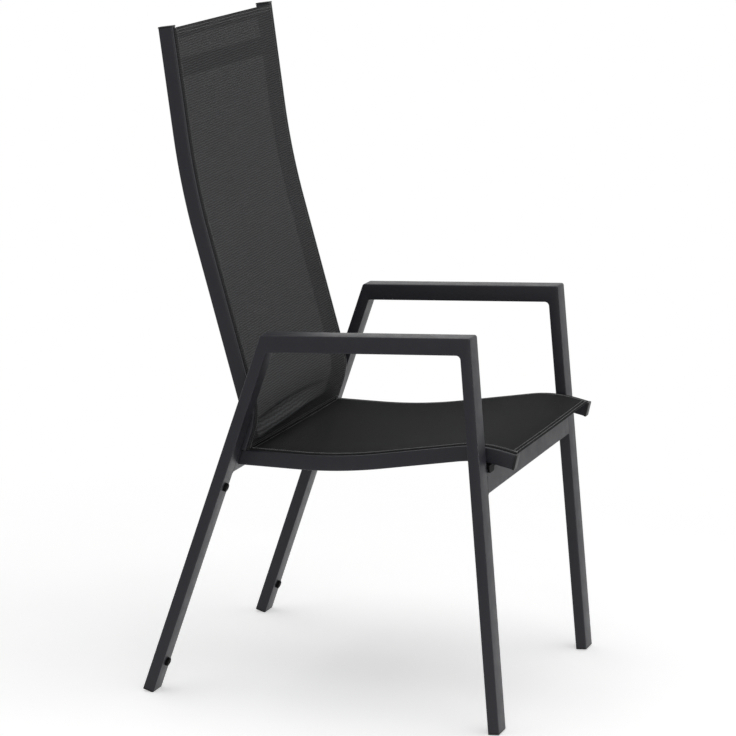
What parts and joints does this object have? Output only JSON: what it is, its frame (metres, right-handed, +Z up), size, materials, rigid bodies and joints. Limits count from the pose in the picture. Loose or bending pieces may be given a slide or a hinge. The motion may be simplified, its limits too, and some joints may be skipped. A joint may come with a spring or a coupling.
{
  "type": "sling patio chair",
  "caption": "High-backed stackable patio armchair with a flat-tube metal frame and woven mesh slings stretched between grooved rails for the seat and back.",
  "frame": {"origin": "on the floor under the middle of the bounding box", "axes": "+Z up, the sitter faces -Y, +X toward the sitter's left"},
  "size_m": [0.5852, 0.638, 1.1164],
  "materials": {
    "frame": "semi-gloss anthracite powder coat on aluminium tube",
    "rail": "semi-gloss anthracite powder coat on aluminium extrusion",
    "plastic": "black moulded plastic, fine grain",
    "bumper": "black soft plastic stacking buttons",
    "seat_fabric": "tight woven coated polyester mesh, dark grey",
    "back_fabric": "woven coated polyester mesh, dark grey",
    "keder": "grey plastic keder rod",
    "fastener": "stainless steel"
  },
  "bodies": {
    "root": {"left_front_leg": "frame", "left_rear_leg": "frame", "left_armrest": "frame", "left_seat_rail": "rail", "left_back_rail": "rail", "left_seat_rail_cap": "plastic", "left_back_rail_cap": "plastic", "left_seat_keder_rod": "keder", "left_back_keder_rod": "keder", "left_front_foot_cap": "plastic", "left_rear_foot_cap": "plastic", "left_upper_bumper": "bumper", "left_lower_bumper": "bumper", "left_apron_saddle": "plastic", "left_seat_bolt": "fastener", "left_seat_nut": "fastener", "left_back_bolt": "fastener", "left_back_nut": "fastener", "left_back_spacer": "plastic", "right_front_leg": "frame", "right_rear_leg": "frame", "right_armrest": "frame", "right_seat_rail": "rail", "right_back_rail": "rail", "right_seat_rail_cap": "plastic", "right_back_rail_cap": "plastic", "right_seat_keder_rod": "keder", "right_back_keder_rod": "keder", "right_front_foot_cap": "plastic", "right_rear_foot_cap": "plastic", "right_upper_bumper": "bumper", "right_lower_bumper": "bumper", "right_apron_saddle": "plastic", "right_seat_bolt": "fastener", "right_seat_nut": "fastener", "right_back_bolt": "fastener", "right_back_nut": "fastener", "right_back_spacer": "plastic", "front_apron": "frame", "rear_crossbeam": "frame", "back_top_crossbar": "rail", "seat_sling": "seat_fabric", "back_sling": "back_fabric"}
  },
  "joints": []
}
